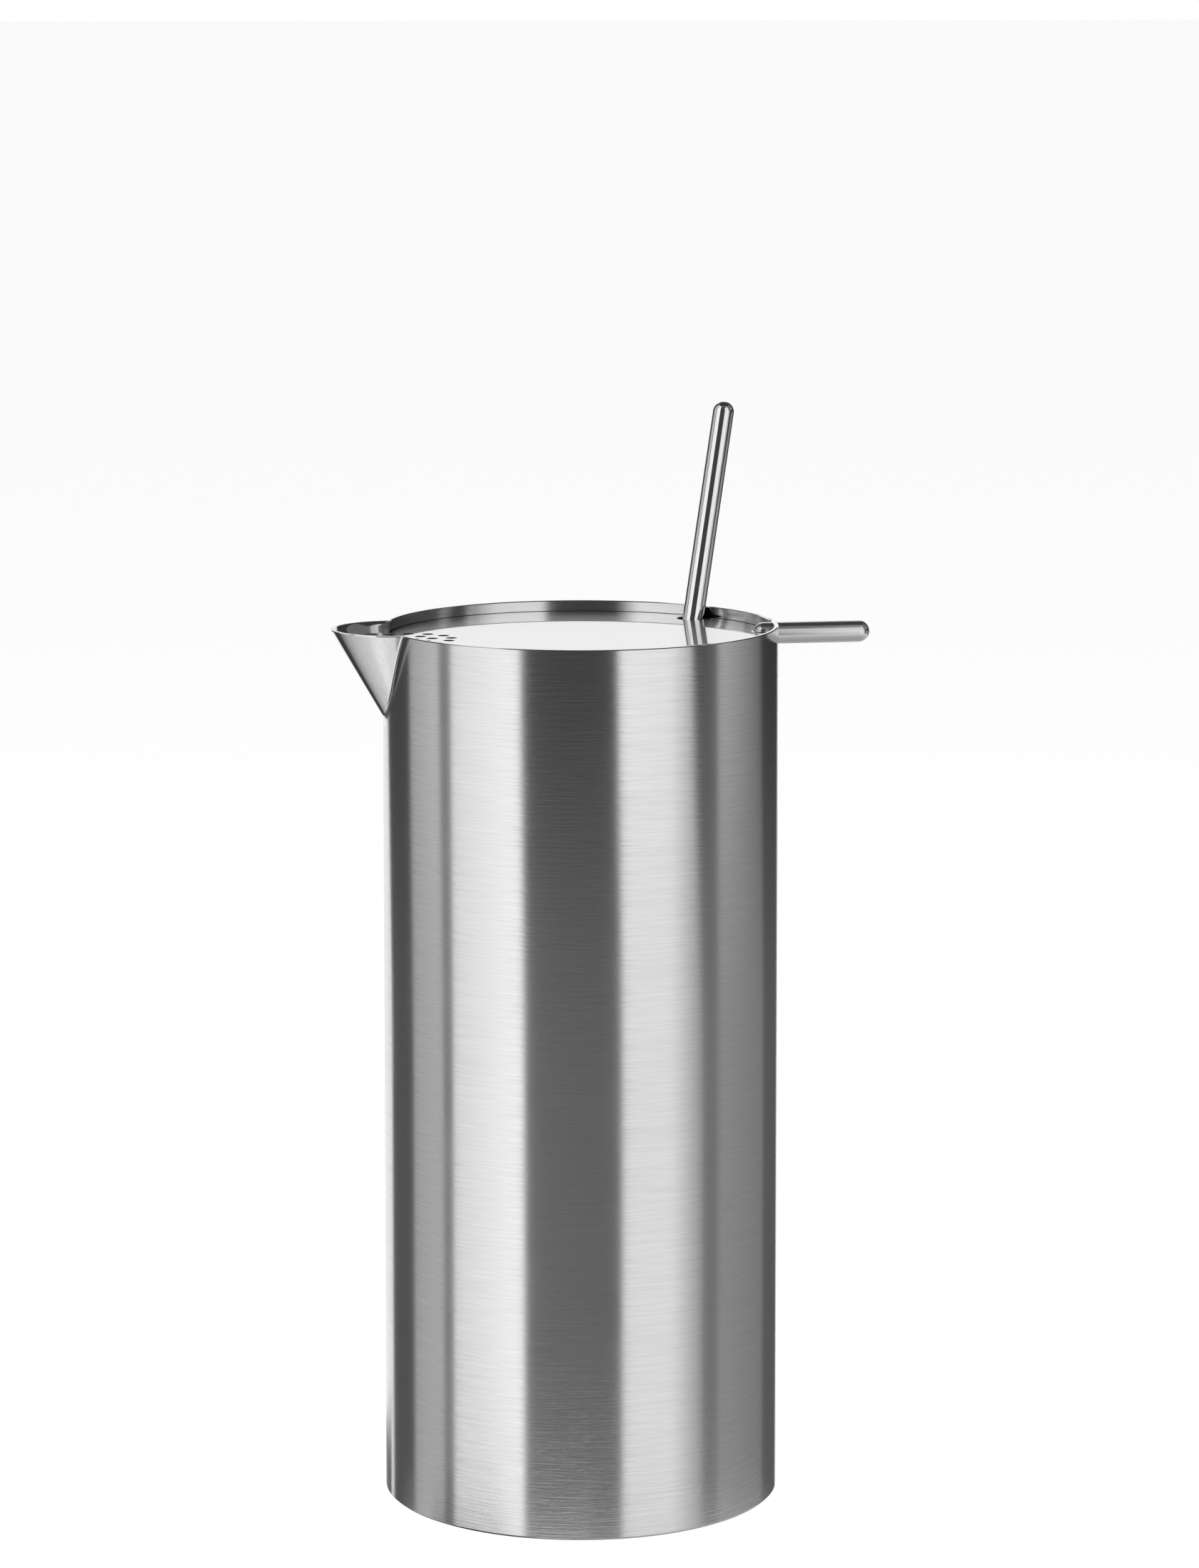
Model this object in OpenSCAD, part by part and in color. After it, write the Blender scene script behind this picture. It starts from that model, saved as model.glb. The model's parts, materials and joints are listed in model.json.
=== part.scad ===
// Cocktail pitcher in stainless steel: a straight cylinder with a half-cone spout
// welded to its rim, a flat strainer lid that hangs on its own rod handle, and a
// rod stirrer with a small round bowl that leans out over the back of the rim.
// The origin is on the vessel's axis, in the plane that the pitcher stands on.
// +Z is up, the spout points along -X and the handle along +X.

/* [Vessel] */
// Outer diameter of the vessel
vessel_d = 90; // [80:1:110]
// Height of the rim above the table
vessel_h = 200; // [150:1:250]
// Thickness of the vessel's sheet
wall_t = 1; // [0.8:0.1:1.4]
// Bevel on the rim's edges, and on the lip of the spout
rim_bevel = 0.2; // [0.1:0.05:0.3]
// Bevel on the outer edge of the foot
foot_bevel = 0.5; // [0.2:0.1:0.7]
// Thickness of the base plate
base_t = 1.5; // [1:0.1:3]
// Bevel round the underside of the base plate, where the seam shows
base_bevel = 0.2; // [0.1:0.1:0.4]
// Leg of the weld fillet in the corner between base plate and wall
base_weld_leg = 1; // [0.6:0.1:2]

/* [Spout] */
// How far the lip reaches out from the vessel's wall
spout_reach = 12.25; // [10:0.25:15]
// Depth of the cone below the rim, down to its point
spout_drop = 20.7; // [17:0.1:28]
// Thickness of the spout's sheet
spout_t = 1; // [0.7:0.1:1.4]
// Leg of the polished weld fillet along the spout's foot
spout_weld_leg = 0.5; // [0.4:0.1:1.2]

/* [Lid] */
// How far the lid's top face lies below the rim
lid_drop = 2.5; // [2:0.1:5]
// Thickness of the lid
lid_t = 1; // [0.8:0.1:1.5]
// Bevel on the edges of the lid
lid_bevel = 0.15; // [0.05:0.05:0.3]
// Clearance between the lid's edge and the vessel's wall
lid_gap = 0.25; // [0.15:0.05:0.5]
// Clearance between the lid's tongue and the inside of the spout
tongue_gap = 0.25; // [0.15:0.05:0.5]

/* [Strainer] */
// Diameter of a strainer hole
hole_d = 2.5; // [1.5:0.1:2.6]
// Step from the middle hole to the inner ring, and from ring to ring
ring_step = 4.35; // [3.5:0.05:4.4]
// Distance from the vessel's wall in to the middle hole
strainer_inset = 6.6; // [6:0.1:12]
// Number of rings round the middle hole
ring_count = 2; // [1:1:2]
// Holes in the inner ring, and how many more each further ring has
ring_holes = 6; // [4:1:6]

/* [Handle] */
// Diameter of the handle's rod
handle_d = 5; // [4:0.1:6]
// Length of the handle over its two round ends
handle_l = 27.2; // [20:0.1:45]
// How far the handle's axis lies below the lid's top face
handle_sink = 0.5; // [0:0.1:1]
// How far the handle's root reaches in over the lid, from the outside of the wall
handle_root = 5; // [4:0.1:8]
// Clearance round the handle in the notch of the rim
notch_gap = 0.25; // [0.15:0.05:0.5]
// Leg of the weld fillet round the handle's root
handle_weld_leg = 0.5; // [0.3:0.1:0.8]

/* [Stirrer] */
// Diameter of the stirrer's rod
stirrer_d = 5; // [4:0.1:6]
// Length of the stirrer from the tip of its bowl to its round top
stirrer_l = 252; // [230:1:330]
// Direction in which the stirrer leans, counted from the handle to the back
stirrer_turn = 40; // [35:1:60]
// How far past the vessel's axis the bowl stands, away from the lean
stirrer_foot = 2.6; // [0:0.1:6]
// Clearance between the stirrer and the inside of the rim
stirrer_gap = 0.3; // [0.2:0.05:0.6]
// Clearance on each side of the stirrer in the notch of the lid
slot_gap = 0.9; // [0.5:0.1:1.5]
// How much further the notch of the lid runs in past the stirrer
slot_inset = 0.8; // [0.4:0.1:2]
// Radius of the bowl's round mouth
bowl_r = 10; // [7:0.5:12]
// Radius of the ball that the bowl is a cap of
bowl_ball_r = 12; // [12:0.5:16]
// Thickness of the bowl's sheet
bowl_t = 1; // [0.8:0.1:1.2]
// Height of the bowl above the floor of the vessel
bowl_lift = 0.3; // [0.2:0.1:1]
// Leg of the brazed joint between the bowl and the rod
braze_leg = 0.8; // [0.4:0.1:1]

/* [Hidden] */
$fn = 96;

// How far a cutting shape runs past the face that it cuts
overrun = 1;
// Flats along the hollow of a weld fillet
fillet_steps = 4;

vessel_r = vessel_d / 2;
inner_r = vessel_r - wall_t;

// The spout is a cone whose axis lies on the outside of the wall.
// Its radius grows by cone_slope for each unit of height.
cone_slope = spout_reach / spout_drop;
cone_angle = atan(cone_slope);
spout_level_t = spout_t / cos(cone_angle);
spout_point_z = vessel_h - spout_drop;
// Radius of the blunt points of the cone's outside and inside
spout_nose_r = 0.25;

// Weld bead: how deep its root is buried, and its number of steps
weld_root = 0.12;
weld_steps = 22;
weld_arc_steps = 4;
// First full section of the bead, as a multiple of its leg away from the cone's point
weld_start_share = 1.3;

lid_r = inner_r - lid_gap;
lid_top_z = vessel_h - lid_drop;
lid_low_z = lid_top_z - lid_t;
tongue_level_gap = tongue_gap / cos(cone_angle);
strainer_x = -(vessel_r - strainer_inset);

handle_r = handle_d / 2;
handle_z = lid_top_z - handle_sink;
// Half the handle's width in the plane of the lid's top face
handle_half_w = sqrt(handle_r * handle_r - handle_sink * handle_sink);
handle_root_x = vessel_r - handle_root;
handle_tip_x = handle_root_x + handle_l;
notch_r = handle_r + notch_gap;

stirrer_r = stirrer_d / 2;
bowl_z = base_t + bowl_lift + bowl_r;
// The rod's near side passes the rim at stirrer_gap: across * cos(lean) less
// rise * sin(lean) is the rod's radius, and lean is solved from that.
lean_across = inner_r - stirrer_gap + stirrer_foot;
lean_rise = vessel_h - bowl_z;
lean_slant = sqrt(lean_across * lean_across + lean_rise * lean_rise);
stirrer_lean = acos(stirrer_r / lean_slant) - atan2(lean_rise, lean_across);
// Distance from the vessel's axis to the middle of the notch's round end: where
// the rod's axis passes the lid, less the inset
slot_end_r = (lid_top_z - bowl_z) * tan(stirrer_lean) - stirrer_foot - slot_inset;
slot_half_w = stirrer_r + slot_gap;
bowl_ball_x = sqrt(bowl_ball_r * bowl_ball_r - bowl_r * bowl_r);

// Radius of the spout's outside at a height, measured from the cone's axis
function cone_r(z) = (z - spout_point_z) * cone_slope;
// Radius of the spout's inside at a height
function cone_inner_r(z) = cone_r(z) - spout_level_t;
// Height at which the spout's outside has a radius
function cone_z(r) = spout_point_z + r / cone_slope;

function unit(v) = v / norm(v);

// The line where the cone leaves the wall, by the angle round the vessel.
// The cone's radius there is the chord from its axis to that point of the wall.
function seam_point(a) =
    [-vessel_r * cos(a), vessel_r * sin(a), cone_z(2 * vessel_r * sin(abs(a) / 2))];
function wall_normal(a) = [-cos(a), sin(a), 0];
function cone_normal(a) =
    let (p = seam_point(a))
    let (level = unit([p[0] + vessel_r, p[1], 0]))
    [level[0] * cos(cone_angle), level[1] * cos(cone_angle), -sin(cone_angle)];
// Along the seam, which has both surfaces' normals square to it
function seam_run(a) = sign(a) * unit(cross(wall_normal(a), cone_normal(a)));

// Section of the bead at angle a: the buried root, then a hollow curve from the
// wall to the cone, which leaves both of them tangentially.
function bead_curve(p, on_wall, on_cone) =
    [for (i = [0 : weld_arc_steps])
        let (t = i / weld_arc_steps)
        p + (1 - t) * (1 - t) * on_wall + t * t * on_cone];
function bead_section(a) =
    let (p = seam_point(a))
    let (run = seam_run(a))
    let (on_wall = cross(run, wall_normal(a)) * sign(a) * spout_weld_leg)
    let (on_cone = cross(cone_normal(a), run) * sign(a) * spout_weld_leg)
    concat([p - weld_root * (wall_normal(a) + cone_normal(a))],
        bead_curve(p, on_wall, on_cone));
// At the cone's point the two halves of the bead meet in a mitre.
function point_section() =
    let (p = seam_point(0))
    let (down = spout_weld_leg / sin(cone_angle))
    let (out = spout_weld_leg / sin(90 * sin(cone_angle)))
    concat([p + [weld_root, 0, weld_root]],
        bead_curve(p, [0, 0, -down], [-sin(cone_angle) * out, 0, cos(cone_angle) * out]));

// Skin of a tube through sections of equal length, closed at both ends
module swept(sections) {
    n = len(sections[0]);
    last = len(sections) - 1;
    sides = [for (i = [0 : last - 1]) for (j = [0 : n - 1])
        let (k = (j + 1) % n)
        each [[i * n + j, (i + 1) * n + j, (i + 1) * n + k],
            [i * n + j, (i + 1) * n + k, i * n + k]]];
    first_cap = [[for (j = [0 : n - 1]) j]];
    last_cap = [[for (j = [n - 1 : -1 : 0]) last * n + j]];
    polyhedron([for (s = sections) each s], concat(sides, first_cap, last_cap));
}

// Hollow fillet between two faces that meet at the origin: the corner, and points
// along the quarter circle that leaves both faces tangentially
module fillet_profile(leg) {
    polygon(concat([[0, 0]],
        [for (i = [0 : fillet_steps])
            let (a = 90 * i / fillet_steps)
            [leg * (1 - sin(a)), leg * (1 - cos(a))]]));
}

// The open space inside the spout, which is also cut through the wall behind it
module spout_hollow() {
    low_z = cone_z(spout_level_t + spout_nose_r);
    translate([-vessel_r, 0, low_z])
        cylinder(h = vessel_h + overrun - low_z,
            r1 = spout_nose_r, r2 = cone_inner_r(vessel_h + overrun));
}

// Rod along +X with two round ends, as far as its ends' tips
module round_rod(from_x, to_x, r) {
    translate([from_x + r, 0, 0])
        rotate([0, 90, 0])
            cylinder(h = to_x - from_x - 2 * r, r = r);
    translate([from_x + r, 0, 0])
        sphere(r);
    translate([to_x - r, 0, 0])
        sphere(r);
}

// Frame of the stirrer: the origin in the middle of the bowl's mouth, +Z up the
// rod, and the bowl's hollow side facing -X
module stirrer_frame() {
    rotate([0, 0, stirrer_turn])
        translate([-stirrer_foot, 0, bowl_z])
            rotate([0, stirrer_lean, 0])
                children();
}

// Rolled and seam-welded tube, open at both ends, with the spout's mouth and the
// handle's notch cut in its rim
module vessel_wall() {
    color("#b4b6b8")
        difference() {
            rotate_extrude()
                polygon([
                    [inner_r, 0],
                    [vessel_r - foot_bevel, 0],
                    [vessel_r, foot_bevel],
                    [vessel_r, vessel_h - rim_bevel],
                    [vessel_r - rim_bevel, vessel_h],
                    [inner_r + rim_bevel, vessel_h],
                    [inner_r, vessel_h - rim_bevel]
                ]);
            spout_hollow();
            translate([0, 0, handle_z])
                rotate([0, 90, 0])
                    cylinder(h = vessel_r + overrun, r = notch_r);
            translate([0, -notch_r, handle_z])
                cube([vessel_r + overrun, 2 * notch_r, lid_drop + handle_sink + overrun]);
        }
}

// Flat disc let into the foot of the tube, flush with its lower edge
module base_plate() {
    color("#a8aaac")
        rotate_extrude()
            polygon([
                [0, 0],
                [inner_r - base_bevel, 0],
                [inner_r, base_bevel],
                [inner_r, base_t],
                [0, base_t]
            ]);
}

// Weld fillet all round the inside corner
module base_weld() {
    color("#9fa1a3")
        translate([0, 0, base_t])
            rotate_extrude()
                translate([inner_r, 0])
                    mirror([1, 0])
                        fillet_profile(base_weld_leg);
}

// Half of a pointed cone, cut to the curve of the wall
module spout_cone() {
    color("#c4c6c8")
        difference() {
            translate([-vessel_r, 0, 0])
                rotate_extrude()
                    polygon([
                        [0, cone_z(spout_nose_r)],
                        [spout_nose_r, cone_z(spout_nose_r)],
                        [cone_r(vessel_h - rim_bevel), vessel_h - rim_bevel],
                        [cone_r(vessel_h) - rim_bevel, vessel_h],
                        [cone_inner_r(vessel_h) + rim_bevel, vessel_h],
                        [cone_inner_r(vessel_h - rim_bevel), vessel_h - rim_bevel],
                        [spout_nose_r, cone_z(spout_level_t + spout_nose_r)],
                        [0, cone_z(spout_level_t + spout_nose_r)]
                    ]);
            cylinder(h = vessel_h + overrun, r = vessel_r);
        }
}

// Polished bead that follows the seam down one side of the spout, round its point
// and up the other side
module spout_weld() {
    start = weld_start_share * spout_weld_leg / vessel_r * 180 / PI;
    past = 2 * asin(cone_r(vessel_h + overrun) / (2 * vessel_r));
    half = [for (i = [0 : weld_steps])
        start + (past - start) * i / weld_steps];
    color("#d0d2d4")
        intersection() {
            swept(concat(
                [for (i = [weld_steps : -1 : 0]) bead_section(-half[i])],
                [point_section()],
                [for (i = [0 : weld_steps]) bead_section(half[i])]
            ));
            translate([-vessel_r - spout_reach - overrun, -vessel_r, 0])
                cube([vessel_r + spout_reach + overrun, vessel_d, vessel_h]);
        }
}

// Flat lid with a tongue that fills the spout's mouth, strainer holes in front of
// it, a slot for the handle's root and an open notch for the stirrer
module lid_plate() {
    color("#d8dadc")
        difference() {
            union() {
                rotate_extrude()
                    polygon([
                        [0, lid_low_z],
                        [lid_r - lid_bevel, lid_low_z],
                        [lid_r, lid_low_z + lid_bevel],
                        [lid_r, lid_top_z - lid_bevel],
                        [lid_r - lid_bevel, lid_top_z],
                        [0, lid_top_z]
                    ]);
                translate([-vessel_r, 0, lid_low_z])
                    cylinder(h = lid_t,
                        r1 = cone_inner_r(lid_low_z) - tongue_level_gap,
                        r2 = cone_inner_r(lid_top_z) - tongue_level_gap);
            }
            translate([strainer_x, 0, lid_low_z - overrun])
                strainer_holes();
            translate([0, 0, handle_z])
                round_rod(handle_root_x, handle_tip_x, handle_r);
            rotate([0, 0, stirrer_turn])
                translate([slot_end_r, 0, lid_low_z - overrun]) {
                    cylinder(h = lid_t + 2 * overrun, r = slot_half_w);
                    translate([0, -slot_half_w, 0])
                        cube([vessel_r - slot_end_r, 2 * slot_half_w, lid_t + 2 * overrun]);
                }
        }
}

// One hole in the middle, and rings that each have ring_holes more than the last
module strainer_holes() {
    cylinder(h = lid_t + 2 * overrun, d = hole_d);
    for (ring = [1 : ring_count])
        for (i = [0 : ring * ring_holes - 1])
            rotate([0, 0, i * 360 / (ring * ring_holes)])
                translate([ring * ring_step, 0, 0])
                    cylinder(h = lid_t + 2 * overrun, d = hole_d);
}

// Solid rod with two round ends, level, sunk in the lid to just over half its height
module handle_rod() {
    color("#bcbec0")
        translate([0, 0, handle_z])
            round_rod(handle_root_x, handle_tip_x, handle_r);
}

// Fillet on the lid along both sides of the handle and round its inner end
module handle_weld() {
    end_x = handle_root_x + handle_r;
    run_l = lid_r - lid_bevel - handle_weld_leg - end_x;
    color("#cdcfd1")
        translate([0, 0, lid_top_z])
            difference() {
                union() {
                    translate([end_x, 0, 0])
                        rotate([0, 0, 90])
                            rotate_extrude(angle = 180)
                                weld_section();
                    for (side = [0, 1])
                        mirror([0, side, 0])
                            translate([end_x, 0, 0])
                                rotate([90, 0, 90])
                                    linear_extrude(height = run_l)
                                        weld_section();
                }
                translate([0, 0, -handle_sink])
                    round_rod(handle_root_x, handle_tip_x, handle_r);
            }
}

// Section of the handle's fillet, from inside the rod out over the lid
module weld_section() {
    translate([handle_half_w - handle_weld_leg, 0])
        square(handle_weld_leg);
    translate([handle_half_w, 0])
        fillet_profile(handle_weld_leg);
}

// Solid rod with a round top, scooped at its foot to fit the ball of the bowl
module stirrer_rod() {
    top = stirrer_l - bowl_r - stirrer_r;
    color("#c8cacc")
        stirrer_frame()
            difference() {
                union() {
                    translate([0, 0, bowl_r / 2])
                        cylinder(h = top - bowl_r / 2, r = stirrer_r);
                    translate([0, 0, top])
                        sphere(stirrer_r);
                }
                translate([-bowl_ball_x, 0, 0])
                    sphere(bowl_ball_r);
            }
}

// Round bowl pressed from sheet: the part of a hollow ball that lies past its mouth
module stirrer_bowl() {
    color("#c0c2c4")
        stirrer_frame()
            difference() {
                translate([-bowl_ball_x, 0, 0])
                    sphere(bowl_ball_r);
                translate([-bowl_ball_x, 0, 0])
                    sphere(bowl_ball_r - bowl_t);
                translate([-2 * bowl_ball_r, -bowl_ball_r, -bowl_ball_r])
                    cube(2 * bowl_ball_r);
            }
}

// Brazed skirt round the rod where it meets the back of the bowl
module bowl_braze() {
    color("#b8b29a")
        stirrer_frame()
            difference() {
                intersection() {
                    translate([-bowl_ball_x, 0, 0])
                        sphere(bowl_ball_r + braze_leg);
                    cylinder(h = bowl_ball_r + braze_leg, r = stirrer_r + braze_leg);
                }
                translate([-bowl_ball_x, 0, 0])
                    sphere(bowl_ball_r);
                cylinder(h = bowl_ball_r + braze_leg + overrun, r = stirrer_r);
                translate([-2 * bowl_ball_r, -bowl_ball_r, 0])
                    cube(2 * bowl_ball_r);
            }
}

vessel_wall();
base_plate();
base_weld();
spout_cone();
spout_weld();
lid_plate();
handle_rod();
handle_weld();
stirrer_rod();
stirrer_bowl();
bowl_braze();
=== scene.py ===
"""Cocktail pitcher in stainless steel: smooth surfaces, metal finishes and a small studio."""

import json
import math

import bmesh
import bpy
import numpy as np
from bpy.props import FloatProperty, FloatVectorProperty, PointerProperty
from mathutils.geometry import tessellate_polygon
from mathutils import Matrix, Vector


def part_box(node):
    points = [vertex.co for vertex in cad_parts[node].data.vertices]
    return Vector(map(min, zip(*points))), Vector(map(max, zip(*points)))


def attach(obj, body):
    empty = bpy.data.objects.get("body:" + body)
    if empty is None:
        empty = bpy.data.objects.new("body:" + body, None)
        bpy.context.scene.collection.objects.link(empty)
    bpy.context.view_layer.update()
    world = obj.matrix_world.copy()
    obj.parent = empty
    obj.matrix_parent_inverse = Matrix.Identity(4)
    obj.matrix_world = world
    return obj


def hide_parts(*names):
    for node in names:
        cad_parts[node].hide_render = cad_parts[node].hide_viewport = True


bl_info = {
    "name": "Cocktail Pitcher",
    "version": (1, 0, 0),
    "blender": (4, 5, 0),
    "location": "View3D > Sidebar > Pitcher",
    "description": "Builds a steel cocktail pitcher with a strainer lid and a stirrer, and its studio",
    "category": "Object",
}

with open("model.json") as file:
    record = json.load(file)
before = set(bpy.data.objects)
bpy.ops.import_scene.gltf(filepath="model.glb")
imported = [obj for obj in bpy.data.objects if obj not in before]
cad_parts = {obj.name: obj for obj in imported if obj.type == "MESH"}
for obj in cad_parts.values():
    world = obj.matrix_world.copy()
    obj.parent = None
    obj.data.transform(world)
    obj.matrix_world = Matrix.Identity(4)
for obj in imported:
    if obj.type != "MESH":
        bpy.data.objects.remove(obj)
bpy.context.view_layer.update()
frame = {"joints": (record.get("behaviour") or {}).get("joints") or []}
WALL_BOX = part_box("vessel_wall")
LID_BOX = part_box("lid_plate")
HANDLE_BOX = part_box("handle_rod")
STIRRER_AXIS = next(joint["axis"] for joint in frame["joints"] if joint["child"] == "stirrer")
MM = 0.001
PHOTO_LONG_SIDE = 2197
CREASE = math.radians(28)
HANDLE_RADIUS = (HANDLE_BOX[1].z - HANDLE_BOX[0].z) / 2
HANDLE_HEIGHT = (HANDLE_BOX[1].z + HANDLE_BOX[0].z) / 2
# Points closer than MERGE become one, and edges shorter than SLIVER are taken out
MERGE, SLIVER = 1e-7, 1e-8
# Degrees round from the handle, before and after the point where the spout's mouth cuts the rim
MOUTH_EDGE = (160.6, 162.6)
# Rows of the wall's faces that make its rim
RIM_ROWS = (3, 4, 5)
ROD_COLUMNS, FOOT_COLUMNS, BOWL_COLUMNS = 72, 240, 96
WHITE = (1.0, 1.0, 1.0, 1.0)
FLOAT, VECTOR, COLOUR = "NodeSocketFloat", "NodeSocketVector", "NodeSocketColor"


def length(name, description, millimetres):
    """A size of the pitcher, kept in metres."""
    return FloatProperty(name=name, description=description, default=millimetres * MM, min=0.0, unit="LENGTH",
                         precision=5)


def angle(name, description, degrees):
    """An angle, kept in radians."""
    return FloatProperty(name=name, description=description, default=math.radians(degrees), subtype="ANGLE")


def share(name, description, value, highest=1.0):
    """A number without a unit."""
    return FloatProperty(name=name, description=description, default=value, min=0.0, max=highest)


def colour(name, description, value):
    """A linear colour."""
    return FloatVectorProperty(name=name, description=description, default=value, size=3, min=0.0, max=1.0,
                               subtype="COLOR")


class PitcherVesselSizes(bpy.types.PropertyGroup):
    """Sizes of the tube, its base and its spout"""

    diameter: length("Diameter", "Outside of the tube", round(2 * WALL_BOX[1].y / MM, 1))
    height: length("Height", "Height of the rim above the table", round(WALL_BOX[1].z / MM, 1))
    wall: length("Wall", "Thickness of the tube's sheet", 1.0)
    rim_bevel: length("Rim bevel", "Bevel on the edges of the rim and the lip", 0.2)
    foot_bevel: length("Foot bevel", "Bevel on the outer edge of the foot", 0.5)
    base: length("Base", "Thickness of the base plate", 1.5)
    base_bevel: length("Base bevel", "Bevel round the underside of the base plate", 0.2)
    base_weld: length("Base weld", "Leg of the weld between base and wall", 1.0)
    spout_reach: length("Spout reach", "How far the lip reaches out from the wall", 12.25)
    spout_drop: length("Spout drop", "Depth of the cone below the rim", 20.7)
    spout_sheet: length("Spout sheet", "Thickness of the spout's sheet", 1.0)
    spout_lip: length("Spout lip", "Radius of the spout's level section at the rim, without its flare", 13.0)
    spout_flare: length("Spout flare", "What the lip's radius gains close to the rim", 1.5)
    spout_root: length("Spout root", "Radius of the spout's level section at its point", 5.9)
    bead: length("Bead", "Leg of the weld bead along the spout's foot", 0.5)
    bead_point: length("Bead at the point", "What the bead's leg gains at the spout's point", 1.0)
    bead_root: length("Bead root", "How deep the bead's root is buried", 0.12)


class PitcherLidSizes(bpy.types.PropertyGroup):
    """Sizes of the lid, its strainer and its handle"""

    gap: length("Gap", "Clearance between the lid's edge and the wall", 0.25)
    tongue_gap: length("Tongue gap", "Clearance between the tongue and the inside of the spout", 0.25)
    bevel: length("Bevel", "Bevel on the lid's edges", 0.15)
    hole: length("Hole", "Diameter of a strainer hole", 2.5)
    hole_bevel: length("Hole bevel", "Broken edge round each hole", 0.05)
    hole_step: length("Hole step", "Step from ring to ring of the strainer", 4.35)
    hole_inset: length("Strainer inset", "From the vessel's wall in to the middle hole", 6.6)
    slot: length("Notch", "Half the width of the stirrer's notch", 3.4)
    slot_inset: length("Notch inset", "How far the notch runs in past the stirrer's axis", 0.8)
    handle_gap: length("Handle gap", "Clearance round the handle in the notch of the rim", 0.25)
    handle_weld: length("Handle weld", "Leg of the weld round the handle's root", 0.5)


class PitcherStirrerSizes(bpy.types.PropertyGroup):
    """Sizes of the stirrer"""

    diameter: length("Diameter", "Diameter of the rod", 5.0)
    rod: length("Rod", "From the middle of the bowl to the rod's round top", 242.0)
    foot: length("Foot", "How far past the vessel's axis the bowl stands", 2.6)
    lift: length("Lift", "Height of the bowl above the floor of the vessel", 0.3)
    bowl: length("Bowl", "Radius of the bowl's mouth", 10.0)
    ball: length("Ball", "Radius of the ball that the bowl is a cap of", 12.0)
    sheet: length("Sheet", "Thickness of the bowl", 1.0)
    braze: length("Braze", "Leg of the brazed joint", 0.8)


class PitcherFinish(bpy.types.PropertyGroup):
    """Colours and roughness of the metals"""

    body: colour("Body", "Brushed steel of the tube", (0.70, 0.70, 0.705))
    body_rough: share("Body roughness", "Roughness of the brushed tube", 0.12)
    spout: colour("Spout", "Satin steel of the spout", (0.70, 0.70, 0.705))
    spout_rough: share("Spout roughness", "Roughness of the spout", 0.10)
    lid: colour("Lid", "Polished steel of the lid", (0.70, 0.70, 0.705))
    lid_rough: share("Lid roughness", "Roughness of the lid", 0.03)
    handle: colour("Handle", "Satin steel of the handle", (0.68, 0.68, 0.685))
    handle_rough: share("Handle roughness", "Roughness of the handle", 0.24)
    stirrer: colour("Stirrer", "Polished steel of the stirrer", (0.76, 0.76, 0.765))
    stirrer_rough: share("Stirrer roughness", "Roughness of the stirrer", 0.09)
    base: colour("Base", "Turned steel of the base", (0.62, 0.62, 0.625))
    weld: colour("Weld", "Polished weld metal", (0.80, 0.80, 0.80))
    braze: colour("Braze", "Silver braze", (0.66, 0.63, 0.56))


class PitcherStudio(bpy.types.PropertyGroup):
    """Camera and light"""

    camera_turn: angle("Camera turn", "Camera's turn from the front towards the spout", 9.8)
    camera_tilt: angle("Camera tilt", "How far the camera looks down", 5.939)
    camera_distance: length("Camera distance", "From the pitcher's axis, level", 1135.4)
    camera_side: length("Camera side", "Camera's place right of the pitcher's axis", 4.3)
    camera_height: length("Camera height", "Height above the table", 346.1)
    focal_pixels: share("Focal length", "In pixels of the photograph's long side", 7049.0, 20000.0)
    shift: FloatProperty(name="Shift", description="Vertical, as a share of the long side", default=-0.18)
    panel_distance: length("Panel distance", "From the pitcher's axis to the panels", 3000.0)
    panel_low: length("Panel depth", "How far the panels hang below the table", 1000.0)
    panel_high: length("Panel height", "Height of the panels above the table", 7000.0)
    fade_low: FloatProperty(name="Fade low", description="Height where the panels' lower level starts",
                            default=-0.5, unit="LENGTH")
    fade_high: FloatProperty(name="Fade high", description="Height where the panels' upper level starts",
                             default=-0.20, unit="LENGTH")
    gap_top: length("Gap", "Height up to which the dark middle reaches", 6500.0)
    floor_size: length("Floor", "Half the width of the floor", 40000.0)


def unit(vectors):
    """Each vector divided by its own length."""
    return vectors / np.linalg.norm(vectors, axis=-1, keepdims=True)


def polar(radius, turn, height):
    """Points (r cos a, r sin a, z) round the Z axis; the three arguments broadcast."""
    radius, turn, height = np.broadcast_arrays(radius, turn, height)
    return np.stack([radius * np.cos(turn), radius * np.sin(turn), height], axis=-1)


def grid(points, close_rows=False, close_columns=False):
    """Points and quads of a (rows, columns, 3) grid; a closed direction joins its last line to its first."""
    rows, columns = points.shape[:2]
    index = np.arange(rows * columns).reshape(rows, columns)
    if close_rows:
        index = np.vstack([index, index[:1]])
    if close_columns:
        index = np.hstack([index, index[:, :1]])
    corners = [index[:-1, :-1], index[:-1, 1:], index[1:, 1:], index[1:, :-1]]
    return points.reshape(-1, 3), np.stack(corners, axis=-1).reshape(-1, 4)


def capped(sections):
    """Closed sections carried along a path, with the first and the last one filled in."""
    points, faces = grid(sections, close_columns=True)
    ring = sections.shape[1]
    ends = [list(range(ring)), list(range(len(points) - ring, len(points)))]
    return points, faces.tolist() + ends


def placed(name, data):
    """New object at the origin of the scene."""
    thing = bpy.data.objects.new(name, data)
    bpy.context.scene.collection.objects.link(thing)
    return thing


def mesh_object(name, surface, materials):
    """New object from a surface's points and faces."""
    points, faces = surface
    mesh = bpy.data.meshes.new(name)
    mesh.from_pydata(points.tolist(), [], [list(face) for face in faces])
    for material in materials:
        mesh.materials.append(material)
    return placed(name, mesh)


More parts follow.
